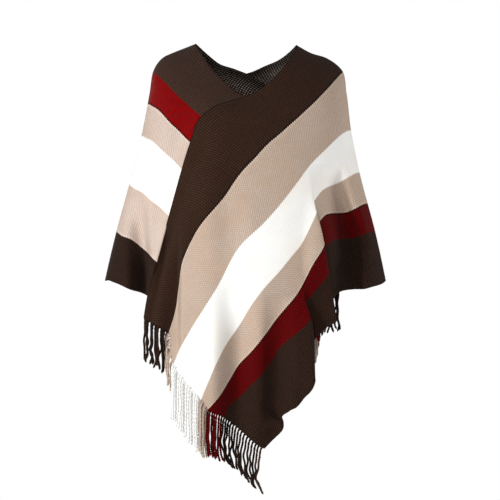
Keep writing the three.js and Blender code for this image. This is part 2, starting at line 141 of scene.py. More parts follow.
# Creases laid in one by one: the stretch along the panel that they lie on, from and to, their line down the
# garment as x and z, how wide they are on its lower-x and higher-x side, and how far out
LEFT_CREASES = [
    (0, 340, [(-157, -430), (-158, -540), (-160, -660), (-160, -760)], 72, 15, -30),
    (0, 600, [(-88, -270), (-94, -380), (-104, -500)], 62, 60, 8),
    (0, 700, [(-29, -380), (-29, -490), (-41, -581), (-56, -670)], 58, 44, -8),
    (0, 700, [(-14, -560), (-14, -700), (-16, -850), (-24, -1040)], 66, 60, -42),
    (0, 745, [(72, -590), (71, -660), (71, -850), (66, -1040)], 66, 50, -36),
    (805, 912, [(212, -290), (226, -350), (244, -408), (258, -466), (260, -570), (260, -760)], 84, 20, -66),
    (925, 1116, [(246, -370), (240, -450), (238, -520), (232, -760)], 30, 40, -40),
    (925, 1116, [(165, -220), (150, -400), (128, -600)], 60, 50, 6),
    (925, 1116, [(70, -180), (78, -330), (92, -520)], 60, 60, -6),
]
RIGHT_CREASES = [
    (0, 340, [(158, -430), (157, -540), (162, -660), (160, -760)], 15, 72, -17),
    (0, 600, [(92, -270), (98, -380), (104, -500)], 60, 62, 7),
    (0, 700, [(34, -390), (28, -490), (42, -590), (58, -680)], 46, 58, -7),
    (0, 700, [(10, -570), (14, -700), (18, -850), (26, -1040)], 56, 66, -36),
    (0, 745, [(-78, -570), (-74, -650), (-76, -840), (-70, -1040)], 50, 70, -32),
    (805, 912, [(-214, -280), (-230, -345), (-246, -408), (-262, -470), (-266, -580), (-268, -760)],
     26, 80, -42),
    (925, 1116, [(-246, -370), (-242, -450), (-239, -520), (-234, -760)], 46, 24, -56),
    (925, 1116, [(-160, -260), (-168, -380), (-166, -520)], 44, 44, -3),
]

CREASE_FADE = 0.7           # power of the sine that fades a crease in and out down its line
CREASE_ENDS = 20.0          # over which a crease ends at the limits of its stretch
FACE_TURN = 6.0             # how quickly a crease's way out changes from front to back round the side

# Sewn edges, which rise again out of the valley
SEAM_LIFT = 14.0
SEAM_HALF = 45.0

# Where the back of the neck edge rises to the right shoulder
NECK_RISE = 14.0
NECK_RISE_TURN = 244.0
NECK_RISE_HALF = 36.0
NECK_RISE_REACH = 75.0

# Yarn colours, as seen in even light, except the right panel's lighter copies, which are painted light, and
# the hems' darker brown, which is painted shade
BROWN = (51, 34, 25)
# Lighter copy of BROWN for the right panel: painted light for the stronger light on that panel
RIGHT_LIT_BROWN = (60, 43, 36)
# Darker copy of BROWN for both hems: painted shade, darker towards the bottom
SHADED_HEM_BROWN = (43, 28, 21)
BEIGE = (176, 157, 142)
# Lighter copy of BEIGE for the right panel: painted light for the stronger light on that panel
RIGHT_LIT_BEIGE = (186, 169, 158)
CREAM = (229, 228, 225)
RED = (84, 1, 2)
# Lighter copy of RED for the right panel: painted light for the stronger light on that panel
RIGHT_LIT_RED = (119, 3, 5)

# Stripes, neck side to hem: name, from, to, colour, strands of fringe, how far they hang
LEFT_STRIPES = [
    ("neck_brown", 0, 130, BROWN, 13, 96),
    ("upper_beige", 130, 275, BEIGE, 9, 72),
    ("cream", 275, 380, CREAM, 12, 128),
    ("lower_beige", 380, 456, BEIGE, 6, 118),
    ("red", 456, 528, RED, 7, 106),
    ("hem_brown", 528, 641, SHADED_HEM_BROWN, 15, 104),
]
RIGHT_STRIPES = [
    ("neck_brown", 0, 132, RIGHT_LIT_BROWN, 13, 112),
    ("red", 132, 205, RIGHT_LIT_RED, 5, 118),
    ("upper_beige", 205, 280, RIGHT_LIT_BEIGE, 6, 124),
    ("cream", 280, 401, CREAM, 12, 130),
    ("lower_beige", 401, 514, RIGHT_LIT_BEIGE, 11, 116),
    ("hem_brown", 514, 641, SHADED_HEM_BROWN, 13, 112),
]

# Meshes of the cloth: size of a cell across, and stretches along with their number of cells
CELL_ACROSS = 4.2
COLUMN_STRETCHES = ((0, 701, 128), (701, 780, 30), (780, 846, 30), (846, 1116, 44))

# Fringe
STRAND_REACH = 6.0          # how far a strand leaves the end before it falls
STRAND_BEND = 11.0          # how far down it is by then
STRAND_ROOT = 3.0           # how deep a strand starts in the cloth
LAYERS = 3
LAYER_STEP = 4.4
STRAND_PITCH = 1.1
STRAND_UNEVEN = 4.0
UNEVEN_TURN = 2.4           # radians from strand to strand of the sine that makes them uneven
STRAND_RADIUS = 2.5
STRAND_SIDES = 8
STRAND_STEPS = 40
TURNED_BY = 0.14            # share of a strand that is its bend
PLY_TWISTS = 10
PLY_SWELL = 0.16
TIP_DRIFT = 13.0            # how far the tips drift on towards the hem
BOW = 6.0                   # how far the strands by the hem bow back
LEAN = 1.8                  # spread of the tips' own leaning
NEW_BUNCH = 0.5             # chance that a strand starts a bunch of its own
BUNCHED = 0.4               # how far a strand is drawn to its bunch
BUNCH_SWAY = 2.4
OWN_SWAY = 1.8
OWN_WAVES = 2.3             # waves of a strand's own for each of its bunch
OWN_DEPTH = 1.5
WAVES = (0.7, 1.3)          # fewest and most waves down a strand
SWAY_BY = 0.5               # share of the fall after which a strand sways fully
BUNCH_BY = 0.625            # share of the fall after which it is in its bunch
CURTAIN = 0.3               # share of the swaying left to beige, cream and red strands, which hang close
HEMWARD_POWER = 5           # how late across the panel the strands start to drift towards the hem
DRIFT_POWER = 4             # how late down its fall a strand drifts
SHADES = (0.0, 0.6)         # lowest and highest shade of a strand
PLAIN_SHADE = 1.0
PLAIN_STRANDS = -2          # the last strands at the hem, which have the plain shade

# Ends of a round strand or bead, as shares of its radius: the last ring, and the one before it
END_CLOSED = 0.02
END_DRAWN_IN = 0.8
TUBE_SIDE = (0.0, 1.0, 0.15)      # a direction that no strand or edge follows

# Rolled edges
NECK_BEAD = 1.9
HEM_BEAD = 1.6
END_BEAD = 1.4
BEAD_SIDES = 8
BEAD_STEPS = 420
BEAD_INSET = 1.0            # how far inside the panel's edge a bead takes its colour

# Knitting in metres, each side of it by the width of a column and the height of a row
WALE = 0.0056
COURSE = 0.0050
BACK_WALE = 0.0064
BACK_COURSE = 0.0053
STITCH_SLANT = 0.6          # rows that the legs of a V rise
ROW_MIDDLE = 0.8            # where in a row its middle is, with the slant
COLUMN_POWER = 3.0
NOTCH_HALF = 0.3            # of the notch between the legs, in half columns
NOTCH_DEPTH = 0.2
ROW_SHARE = 0.8             # of a stitch's height that falls away towards its row's ends
FACE_GROOVE = (0.2, 0.85)   # heights at which a groove is deepest and ends
BACK_GROOVE = (0.5, 0.95)
FACE_RELIEF = (0.0016, 1.4, 0.12)       # depth in metres, and the tones of the painted highlight on the crests and the painted shade in the grooves
BACK_RELIEF = (0.0024, 2.2, 0.02)
BUMP_DARK = 0.7             # bump's strength on the darkest yarn
BUMP_SPARED = 0.6           # what the lightest yarn lacks of it

# How much the tone varies: stitch by stitch, by fibre, by slow drift, and by twist, which is painted shade
# in the grooves of the ply
STITCH_SHARE = 0.22
FIBRE_SHARE = 0.3
DRIFT_SHARE = 0.12
TWIST_SHARE = 0.1
WARMTH = (0.35, 0.65)       # slow noise from plain to warm
WARM_TINT = (1.0, 0.965, 0.93, 1.0)

# Noises, in features for each metre
FIBRE_SCALE = 900.0
DRIFT_SCALE = 9.0
WARMTH_SCALE = 16.0

# How the yarns' colours show in the knitting
BORDER_LINE = 3.0           # millimetres of painted highlight and painted shade on each side of a stripe's border
PAINTED_HIGHLIGHT_LINE = 1.06
PAINTED_SHADE_LINE = 0.62
LIGHT_SUM = 350             # what the three parts of a light yarn's colour come to at least
# Painted highlight on the crests of the inside: its colour, the groove it reaches to, and its share
PAINTED_HIGHLIGHT_PALE = (0.8, 0.8, 0.74, 1.0)
PAINTED_HIGHLIGHT_PALE_CREST = 0.35           # groove up to which the crests of the inside get a painted highlight of this pale colour
PAINTED_HIGHLIGHT_PALE_SHARE = 0.15
PAINTED_EDGE_SHADE = 0.3            # painted shade of the inside at the neck side, where the last rows and the seam roll inwards
PAINTED_EDGE_SHADE_FROM = 0.006
PAINTED_EDGE_SHADE_TO = 0.042
SPARED_POWER = 0.4          # light yarns show less of the painted shade in the grooves and the painted highlight on the crests
ROUGHNESS = 0.92
SPECULAR = 0.06
SHEEN = 0.02
SHEEN_ROUGHNESS = 0.45

# Twisted yarn of the fringe, in metres
TWIST_STEP = 0.009
TWIST_RELIEF = 0.5
YARN_BUMP = (0.6, 0.0008)   # strength and depth


# Curves and the form
def smooth(t):
    """Zero below 0, one above 1, and 3tt - 2ttt between."""
    t = np.clip(t, 0, 1)
    return t * t * (3 - 2 * t)


def hump(t):
    """Squared cosine of a quarter turn times t, and nothing past -1 and 1."""
    return np.where(np.abs(t) < 1, np.cos(np.pi / 2 * np.clip(t, -1, 1)) ** 2, 0.0)


def curve(xs, ys, x):
    """Cubic Hermite curve through (xs, ys), whose slope at a point is the mean of the slopes beside it.

    ys may hold many curves, one for each x, in its leading axes."""
    xs = np.asarray(xs, float)
    ys = np.asarray(ys, float)
    step = np.diff(xs)
    slope = np.diff(ys, axis=-1) / step
    tangent = np.empty_like(ys)
    tangent[..., 1:-1] = (slope[..., :-1] * step[1:] + slope[..., 1:] * step[:-1]) / (step[:-1] + step[1:])
    tangent[..., 0] = slope[..., 0]
    tangent[..., -1] = slope[..., -1]
    i = np.clip(np.searchsorted(xs, x, side="right") - 1, 0, len(xs) - 2)
    t = (x - xs[i]) / step[i]
    s = 1 - t

    def pick(values, k):
        if values.ndim == 1:
            return values[k]
        return np.take_along_axis(values, k[..., None], -1)[..., 0]

    return (s * s * (1 + 2 * t) * pick(ys, i) + t * s * s * step[i] * pick(tangent, i)
            + t * t * (3 - 2 * t) * pick(ys, i + 1) - t * t * s * step[i] * pick(tangent, i + 1))


def ring(k, drop):
    """Column k of the rings at a drop."""
    return curve(RINGS[:, 0], RINGS[:, k], drop)


def form(turn, drop):
    """Point of the worn form and its level outward direction.

    x is the ring's side times the sine of the turn, y its depth times the cosine, and z goes from the side's
    height to the middle's with the squared cosine."""
    angle = np.radians(turn)
    sine, cosine = np.sin(angle), np.cos(angle)
    side = np.where(sine > 0, ring(1, drop), ring(2, drop))
    side_z = ring(3, drop)
    depth = np.where(cosine > 0, ring(4, drop), ring(6, drop))
    middle_z = np.where(cosine > 0, ring(5, drop), ring(7, drop))
    point = np.stack([side * sine, -depth * cosine, side_z + (middle_z - side_z) * cosine ** 2], -1)
    out = np.stack([depth * sine, -side * cosine, np.zeros_like(sine)], -1)
    return point, out / np.linalg.norm(out, axis=-1, keepdims=True)


def edge(along):
    """Turn and drop of the neck-side edge."""
    return (curve(NECK_SIDE_EDGE[:, 0], NECK_SIDE_EDGE[:, 1], along),
            curve(NECK_SIDE_EDGE[:, 0], NECK_SIDE_EDGE[:, 2], along))


def lay(along, across):
    """Turn and drop of a point of a panel: the sections' curves along it, then a curve across them.

    The sewn end is drawn to the other panel's neck-side edge, half a turn away."""
    laid = []
    pull = smooth((along - END_BLEND_ALONG) / (PANEL_LENGTH - END_BLEND_ALONG))
    for which, at_neck in ((0, 180.0), (1, 0.0)):
        columns = SECTIONS[:, 1 + which::2]
        lines = [edge(along)[which]] + [curve(SECTIONS[:, 0], column, along) for column in columns.T]
        plain = curve(LINES_ACROSS, np.stack(lines, -1), across)
        end = curve(LINES_ACROSS, np.concatenate([[at_neck], columns[-1]]), across)
        wanted = edge(SEAM_LENGTH - across)[which] + at_neck
        laid.append(plain + pull * (wanted - end))
    return laid


def fold_shift(folds, along, across):
    """What the folds and the seam's valley add to a panel: degrees of turn, and a step out.

    A fold turns back by its tuck times a hump, and steps in with a hyperbolic tangent under a wider hump."""
    turn = np.zeros_like(along)
    out = np.zeros_like(along)
    for at, half, start, full, tuck, depth in folds:
        t = (along - at) / half
        grown = smooth((across - start) / (full - start))
        turn -= tuck * grown * hump(t)
        before = t + FOLD_AHEAD
        out -= depth / 2 * grown * np.tanh(FOLD_STEEPNESS * before) * hump(before / FOLD_SPREAD)
    at_seam = smooth((SEAM_LENGTH - VALLEY_START - along) / VALLEY_FADE)
    at_sewn_end = smooth((across - VALLEY_START) / VALLEY_FADE)
    out -= SEAM_VALLEY * at_seam * (1 - smooth(across / VALLEY_REACH))
    out += SEAM_RIDGE * at_seam * hump((across - RIDGE_ACROSS) / RIDGE_REACH)
    out -= SEAM_VALLEY * at_sewn_end * (1 - smooth((PANEL_LENGTH - along) / VALLEY_REACH))
    return turn, out


def crease_step(creases, along, point):
    """How far the listed creases stand out, towards the front or the back.

    Each is a hump of the sideways distance from its line, which fades in and out down the line with a power
    of the sine of half a turn."""
    out = np.zeros_like(along)
    x, z = point[..., 0], point[..., 2]
    for start, end, line, lower_side, upper_side, depth in creases:
        line_x, line_z = np.array(line[::-1], float).T
        beside = x - curve(line_z, line_x, np.clip(z, line_z[0], line_z[-1]))
        fade = np.sin(np.pi * np.clip((z - line_z[0]) / (line_z[-1] - line_z[0]), 0, 1)) ** CREASE_FADE
        own = smooth((along - start) / CREASE_ENDS + 1) * smooth((end - along) / CREASE_ENDS + 1)
        out += depth * own * fade * hump(beside / np.where(beside < 0, lower_side, upper_side))
    return out


def seam_lift(along, across):
    """What the sewn edges rise again out of the seam's valley, as the knitting's own thickness fills it."""
    at_neck_side = hump(across / SEAM_HALF) * smooth((SEAM_LENGTH - along) / VALLEY_FADE)
    at_end = hump((PANEL_LENGTH - along) / SEAM_HALF) * smooth(across / VALLEY_FADE)
    return SEAM_LIFT * (at_neck_side + at_end)


def neck_rise(turn, across):
    """How far the neck edge rises behind the right shoulder: a hump of the turn, less away from the edge."""
    near_edge = 1 - smooth(across / NECK_RISE_REACH)
    return NECK_RISE * hump((turn - NECK_RISE_TURN) / NECK_RISE_HALF) * near_edge


def cloth(panel, along, across):
    """Middle of the cloth of a panel, and the form's outward direction there.

    The folds turn and step the form's point, the back hangs higher, and the creases step it to the front or
    back by the hyperbolic tangent of the turn's cosine."""
    along, across = np.broadcast_arrays(np.asarray(along, float), np.asarray(across, float))
    turn, drop = lay(along, across)
    extra_turn, out_step = fold_shift(panel["folds"], along, across)
    turn = turn + extra_turn + panel["half_turn"]
    behind = np.maximum(0, -np.cos(np.radians(turn)))
    point, out = form(turn, drop * (1 - BACK_LIFT * smooth(behind / BACK_FULL)))
    point = point + out * (out_step + seam_lift(along, across))[..., None]
    face = np.tanh(np.cos(np.radians(turn)) * FACE_TURN)
    point[..., 1] -= crease_step(panel["creases"], along, point) * face
    point[..., 2] += neck_rise(turn, across)
    return point, out


# Meshes
def make_mesh(name, points, faces, uv=None):
    """Object at the origin from points in millimetres and quads or triangles of equal size."""
    mesh = bpy.data.meshes.new(name)
    faces = np.asarray(faces, np.int32)
    sides = faces.shape[1]
    mesh.vertices.add(len(points))
    mesh.vertices.foreach_set("co", (np.asarray(points, np.float32) * MM).ravel())
    mesh.loops.add(faces.size)
    mesh.loops.foreach_set("vertex_index", faces.ravel())
    mesh.polygons.add(len(faces))
    mesh.polygons.foreach_set("loop_start", np.arange(0, faces.size, sides, dtype=np.int32))
    mesh.polygons.foreach_set("use_smooth", np.ones(len(faces), bool))
    if uv is not None:
        layer = mesh.uv_layers.new(name="cloth")
        layer.data.foreach_set("uv", np.asarray(uv, np.float32)[faces.ravel()].ravel())
    mesh.update()
    mesh.validate()
    piece = bpy.data.objects.new(name, mesh)
    bpy.context.scene.collection.objects.link(piece)
    return piece


def grid_faces(wide, high):
    """Quads of a grid whose points are numbered with the second parameter running fastest."""
    i, j = np.meshgrid(np.arange(wide - 1), np.arange(high - 1), indexing="ij")
    a = (i * high + j).ravel()
    return np.stack([a, a + 1, a + high + 1, a + high], -1)


# Panels
def panel_lines(stripes):
    """Even lines across a panel that hit every stripe's border."""
    lines = [0.0]
    for _, start, end, *_ in stripes:
        cells = int(np.ceil((end - start) / CELL_ACROSS))
        lines += list(start + (end - start) * np.arange(1, cells + 1) / cells)
    return np.array(lines)


def panel_columns():
    """Lines along a panel, closest where the cascade folds are."""
    return np.unique(np.concatenate([np.linspace(a, b, n + 1) for a, b, n in COLUMN_STRETCHES]))


def make_panel(name, half_turn, folds, creases, stripes, seed):
    """What sets one panel apart from the other."""
    return {"name": name, "half_turn": half_turn, "folds": folds, "creases": creases, "stripes": stripes,
            "seed": seed}


def knitted_length(panel, across):
    """Points of the cloth by columns and lines, and their distance on it from the shoulder line: the sum of
    the straight steps along each line."""
    along = panel_columns()[:, None] + np.zeros(len(across))
    points, _ = cloth(panel, along, across + np.zeros_like(along))
    steps = np.linalg.norm(np.diff(points, axis=0), axis=-1)
    length = np.concatenate([np.zeros((1, len(across))), np.cumsum(steps, axis=0)])
    return points, length - length[np.searchsorted(panel_columns(), SHOULDER_ALONG)]


def panel_piece(panel, materials):
    """One panel as a thin shell: its grid of middle points, given a wall by Solidify.

    Its UV map holds the knitted lengths in metres: along each line the distance on the cloth from the
    shoulder line, and across it the distance from the neck side."""
    across = panel_lines(panel["stripes"])
    points, length = knitted_length(panel, across)
    uv = np.stack([length, across + np.zeros_like(length)], -1).reshape(-1, 2) * MM
    piece = make_mesh(panel["name"] + "_knit", points.reshape(-1, 3), grid_faces(*length.shape), uv)
    wall = piece.modifiers.new("wall", "SOLIDIFY")
    wall.thickness = WALL * MM
    wall.offset = 0
    wall.material_offset = 1
    for material in materials:
        piece.data.materials.append(material)
    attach(piece, "root")
    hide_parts(panel["name"])
    return piece


def tube(paths, radius, sides, swell, twists):
    """Points and quads of round strands along paths, closed at both ends.

    The section is a circle that swells twice round, turning `twists` times on the way, and draws in at the
    ends."""
    n, steps, _ = paths.shape
    forward = np.gradient(paths, axis=1)
    forward /= np.linalg.norm(forward, axis=-1, keepdims=True)
    first = np.cross(forward, TUBE_SIDE)
    first /= np.linalg.norm(first, axis=-1, keepdims=True)
    second = np.cross(forward, first)
    angle = np.arange(sides) * 2 * np.pi / sides
    s = np.linspace(0, 1, steps)[:, None]
    near_end = np.minimum(s, 1 - s) * (steps - 1)
    reach = radius * (1 + swell * np.cos(2 * (angle - 2 * np.pi * twists * s)))
    reach = reach * np.where(near_end < 0.5, END_CLOSED, np.where(near_end < 1.5, END_DRAWN_IN, 1.0))
    points = (paths[:, :, None] + first[:, :, None] * (reach * np.cos(angle))[None, :, :, None]
              + second[:, :, None] * (reach * np.sin(angle))[None, :, :, None])
    i, j = np.meshgrid(np.arange(steps - 1), np.arange(sides), indexing="ij")
    a = i * sides + j
    b = i * sides + (j + 1) % sides
    quads = np.stack([a, b, b + sides, a + sides], -1).reshape(-1, 4)
    quads = (quads[None] + (np.arange(n) * steps * sides)[:, None, None]).reshape(-1, 4)
    return points.reshape(-1, 3), quads


def edge_bead(panel, name, along, across, radius, material):
    """A rolled edge: a round bead of the same knitting along a line of the panel."""
    path, _ = cloth(panel, along, across)
    points, quads = tube(path[None], radius, BEAD_SIDES, 0.0, 0)
    along, across = np.broadcast_arrays(along, across)
    colored = np.clip(across, BEAD_INSET, PANEL_WIDTH - BEAD_INSET)
    uv = np.repeat(np.stack([along, colored], -1), BEAD_SIDES, axis=0) * MM
    bead = make_mesh(panel["name"] + "_" + name, points, quads, uv)
    bead.data.materials.append(material)
    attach(bead, "root")
    return bead


def panel_beads(panel, material):
    """The rolled edges of a panel: its neck side, its hem and its fringed end."""
    whole = np.linspace(0, PANEL_LENGTH, BEAD_STEPS)
    width = np.linspace(0, PANEL_WIDTH, BEAD_STEPS // 2)
    return [
        edge_bead(panel, "neck_edge", whole, 0.0, NECK_BEAD, material),
        edge_bead(panel, "hem_edge", whole, PANEL_WIDTH, HEM_BEAD, material),
        edge_bead(panel, "fringed_edge", 0.0, width, END_BEAD, material),
    ]


# Fringe
def end_frames(panel, across):
    """Points of the fringed end, the form's outward direction, and the direction that leaves the end square:
    the cross product of the end's line with the outward direction."""
    near = 3.0
    before, _ = cloth(panel, 0.0, np.maximum(across - near, 0))
    after, _ = cloth(panel, 0.0, np.minimum(across + near, PANEL_WIDTH))
    point, out = cloth(panel, 0.0, across)
    away = np.cross(after - before, out)
    return point, out, away / np.linalg.norm(away, axis=-1, keepdims=True)


def strand_roots(panel):
    """Where the strands start across the panel, the number of their stripe, and how far each hangs: the
    stripe's drop, longer or shorter by a sine of the strand's number."""
    across, stripe_of, hang = [], [], []
    for number, (_, start, end, _, count, drop) in enumerate(panel["stripes"]):
        across += list(start + (np.arange(count) + 0.5) * (end - start) / count)
        stripe_of += [number] * count
        hang += [drop] * count
    order = np.arange(len(across))
    hang = np.array(hang) + STRAND_UNEVEN * np.sin(order * UNEVEN_TURN)
    return np.array(across), np.array(stripe_of), hang


def end_direction(panel):
    """Level direction of the fringed end, from its neck side to its hem."""
    ends, _ = cloth(panel, 0.0, np.array([0.0, PANEL_WIDTH]))
    sideways = (ends[1] - ends[0]) * (1, 1, 0)
    return sideways / np.linalg.norm(sideways)


def falling_points(point, level, away, hemward, sideways):
    """Where the strands start to fall: out from the end, in layers, each at least a pitch from the next."""
    fall = point + away * (STRAND_REACH * (1 + hemward))[:, None]
    where = fall @ sideways
    for k in range(len(where) - 2, -1, -1):
        where[k] = min(where[k], where[k + 1] - STRAND_PITCH)
    fall += (where - fall @ sideways)[:, None] * sideways
    layer = np.arange(len(point)) % LAYERS - (LAYERS - 1) / 2
    return fall + layer[:, None] * LAYER_STEP * level


def plain_fall(root, fall, bottom):
    """Strands that turn down from their roots on a quarter of an ellipse and then fall straight, and how far
    down each step is, from 0 to 1."""
    s = np.linspace(0, 1, STRAND_STEPS)[None, :, None]
    turned = np.clip(s / TURNED_BY, 0, 1) * np.pi / 2
    down = np.clip((s - TURNED_BY) / (1 - TURNED_BY), 0, 1)
    path = root[:, None] + (fall - root)[:, None] * np.sin(turned) * (1, 1, 0)
    bend = fall[:, 2] - STRAND_BEND
    z = root[:, None, 2:] + (bend - root[:, 2])[:, None, None] * (1 - np.cos(turned))
    z = z + (bottom - bend)[:, None, None] * down
    return path * (1, 1, 0) + z * (0, 0, 1), down


def strand_sway(panel, place, loose, hemward, down):
    """How far the strands go sideways, and in or out, as they fall.

    Two sines wander a strand, the slow one shared by its bunch. It is drawn to the middle of its bunch and
    leans a little. Towards the hem it also bows back on half a sine and drifts on at its tip."""
    draw = np.random.default_rng(panel["seed"])
    n = len(place)
    bunch = np.cumsum(draw.uniform(0, 1, n) < NEW_BUNCH)
    middle = np.array([place[bunch == number].mean() for number in bunch])
    phase = draw.uniform(0, 2 * np.pi, (3, n, 1, 1))
    waves = draw.uniform(*WAVES, (3, n, 1, 1))
    lean = draw.normal(0, LEAN, (n, 1, 1))
    grown = smooth(down / SWAY_BY)
    turns = 2 * np.pi * down
    late = down ** DRIFT_POWER
    sway = (BUNCH_SWAY * np.sin(turns * waves[0, bunch % n] + phase[0, bunch % n])
            + OWN_SWAY * np.sin(OWN_WAVES * turns * waves[1] + phase[1])) * grown
    sway = sway + BUNCHED * (middle - place)[:, None, None] * smooth(down / BUNCH_BY) + lean * late
    sway = loose * sway - BOW * hemward * np.sin(np.pi * down) + TIP_DRIFT * hemward * late
    return sway, OWN_DEPTH * np.sin(turns * waves[2] + phase[2]) * grown


def strand_paths(panel):
    """Middle lines of all strands, neck side to hem, as an array of strands by steps by 3, with their
    stripes: the plain fall, moved sideways and in or out by the sway."""
    across, stripe_of, hang = strand_roots(panel)
    point, level, away = end_frames(panel, across)
    sideways = end_direction(panel)
    hemward = (across / PANEL_WIDTH) ** HEMWARD_POWER
    fall = falling_points(point, level, away, hemward, sideways)
    path, down = plain_fall(point - away * STRAND_ROOT, fall, point[:, 2] - hang)
    dark = np.array([name.endswith("brown") for name, *_ in panel["stripes"]])[stripe_of]
    loose = np.where(dark, 1.0, CURTAIN)[:, None, None]
    sway, step_out = strand_sway(panel, fall @ sideways, loose, hemward[:, None, None], down)
    return path + sway * sideways + step_out * level[:, None], stripe_of


def fringe_pieces(panel, end, materials):
    """One piece of strands for each stripe. Its UV map holds each strand's own shade, and its length."""
    paths, stripe_of = strand_paths(panel)
    draw = np.random.default_rng(panel["seed"] + 1)
    shade = draw.uniform(*SHADES, len(paths))
    shade[PLAIN_STRANDS:] = PLAIN_SHADE
    pieces = []
    for number, (name, _, _, color, _, drop) in enumerate(panel["stripes"]):
        own = stripe_of == number
        points, quads = tube(paths[own], STRAND_RADIUS, STRAND_SIDES, PLY_SWELL, PLY_TWISTS)
        down = np.linspace(0, drop, STRAND_STEPS) * MM
        u, v = np.meshgrid(shade[own], down, indexing="ij")
        uv = np.repeat(np.stack([u, v], -1).reshape(-1, 2), STRAND_SIDES, axis=0)
        piece = make_mesh("yarn_%s_%s" % (end, name), points, quads, uv)
        material, slot = materials[color]
        piece.data.materials.append(material)
        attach(piece, "root")
        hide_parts("fringe_%s_%s" % (end, name))
        pieces.append(piece)
    return pieces


# Shader nodes
def srgb(color):
    """Linear colour of a 0 to 255 screen colour."""
    c = np.clip(np.array(color, float) / 255, 0, 1)
    linear = np.where(c <= 0.04045, c / 12.92, ((c + 0.055) / 1.055) ** 2.4)
    return (*linear, 1.0)


class Wiring:
    """Short names for the nodes of one tree. Each call adds a node and gives its output socket."""

    def __init__(self, tree):
        self.tree = tree

    def node(self, kind, **settings):
        made = self.tree.nodes.new("ShaderNode" + kind)
        for key, value in settings.items():
            setattr(made, key, value)
        return made

    def put(self, socket, value):
        if isinstance(value, bpy.types.NodeSocket):
            self.tree.links.new(value, socket)
        else:
            socket.default_value = value

    def math(self, operation, *values):
        made = self.node("Math", operation=operation)
        for socket, value in zip(made.inputs, values):
            self.put(socket, value)
        return made.outputs[0]

    def between(self, value, low, high, to_low, to_high):
        """A smooth step of a value from low to high, which gives to_low to to_high."""
        made = self.node("MapRange", interpolation_type="SMOOTHSTEP")
        for socket, given in zip(made.inputs, (value, low, high, to_low, to_high)):
            self.put(socket, given)
        return made.outputs[0]

    def noise(self, vector, scale, detail):
        made = self.node("TexNoise")
        self.put(made.inputs["Vector"], vector)
        made.inputs["Scale"].default_value = scale
        made.inputs["Detail"].default_value = detail
        return made.outputs[0]

    def mix(self, factor, first, second, blend="MIX"):
        made = self.node("Mix", data_type="RGBA", blend_type=blend)
        self.put(made.inputs[0], factor)
        self.put(made.inputs[6], first)
        self.put(made.inputs[7], second)
        return made.outputs[2]

    def varied(self, tone, value, share):
        """Tone times a factor about one, which follows a value over a share."""
        return self.math("MULTIPLY", tone, self.math("MULTIPLY_ADD", value, share, 1 - share / 2))

    def arched(self, value):
        """One less the square of twice a value's fraction less one: a parabola over each whole step."""
        off = self.math("SUBTRACT", self.math("MULTIPLY", self.math("FRACT", value), 2.0), 1.0)
        return self.math("SUBTRACT", 1.0, self.math("MULTIPLY", off, off))

    def split(self, vector):
        made = self.node("SeparateXYZ")
        self.put(made.inputs[0], vector)
        return made.outputs

    def random_cell(self, column, row):
        """A random value for each whole column and row."""
        cell = self.node("CombineXYZ")
        self.put(cell.inputs[0], column)
        self.put(cell.inputs[1], row)
        random = self.node("TexWhiteNoise", noise_dimensions="2D")
        self.put(random.inputs["Vector"], cell.outputs[0])
        return random.outputs["Value"]

    def brightness(self, color, factor):
        """Colour times a factor."""
        made = self.node("VectorMath", operation="SCALE")
        self.put(made.inputs[0], color)
        self.put(made.inputs["Scale"], factor)
        return made.outputs[0]


def node_group(name, inputs, outputs):
    """An empty shader group with sockets of the given kinds, its wiring, and its input and output nodes."""
    tree = bpy.data.node_groups.new(name, "ShaderNodeTree")
    for sockets, way in ((inputs, "INPUT"), (outputs, "OUTPUT")):
        for socket, kind in sockets:
            tree.interface.new_socket(socket, in_out=way, socket_type="NodeSocket" + kind)
    given = tree.nodes.new("NodeGroupInput").outputs
    result = tree.nodes.new("NodeGroupOutput").inputs
    return tree, Wiring(tree), given, result


def face_group():
    """The smooth face of knitting: columns of V-shaped stitches.

    A column's height is one less the cube of the distance from its middle, with a notch between the legs of
    the V. It is scaled by a shallow parabola over each row, and the legs slant, so a row is counted earlier
    away from the middle of a column."""
    tree, w, given, result = node_group(
        "knit_face", [("Cloth", "Vector"), ("Wale", "Float"), ("Course", "Float")],
        [("Height", "Float"), ("Groove", "Float"), ("Stitch", "Float"), ("Row Place", "Float")])
    place = w.split(given["Cloth"])
    wales = w.math("DIVIDE", place["X"], given["Wale"])
    leg = w.math("MULTIPLY", w.math("ABSOLUTE", w.math("SUBTRACT", w.math("FRACT", wales), 0.5)), 2.0)
    slant = w.math("MULTIPLY", leg, STITCH_SLANT)
    rows = w.math("SUBTRACT", w.math("DIVIDE", place["Y"], given["Course"]), slant)
    column = w.math("SUBTRACT", 1.0, w.math("POWER", leg, COLUMN_POWER))
    notched = w.math("SUBTRACT", column, w.between(leg, 0.0, NOTCH_HALF, NOTCH_DEPTH, 0.0))
    height = w.math("MULTIPLY", notched, w.math("MULTIPLY_ADD", w.arched(rows), ROW_SHARE, 1 - ROW_SHARE))
    row = w.math("FLOOR", rows)
    w.put(result["Height"], height)
    w.put(result["Groove"], w.between(height, *FACE_GROOVE, 1.0, 0.0))
    w.put(result["Stitch"], w.random_cell(w.math("FLOOR", wales), row))
    w.put(result["Row Place"], w.math("MULTIPLY", w.math("ADD", row, ROW_MIDDLE), given["Course"]))
    return tree


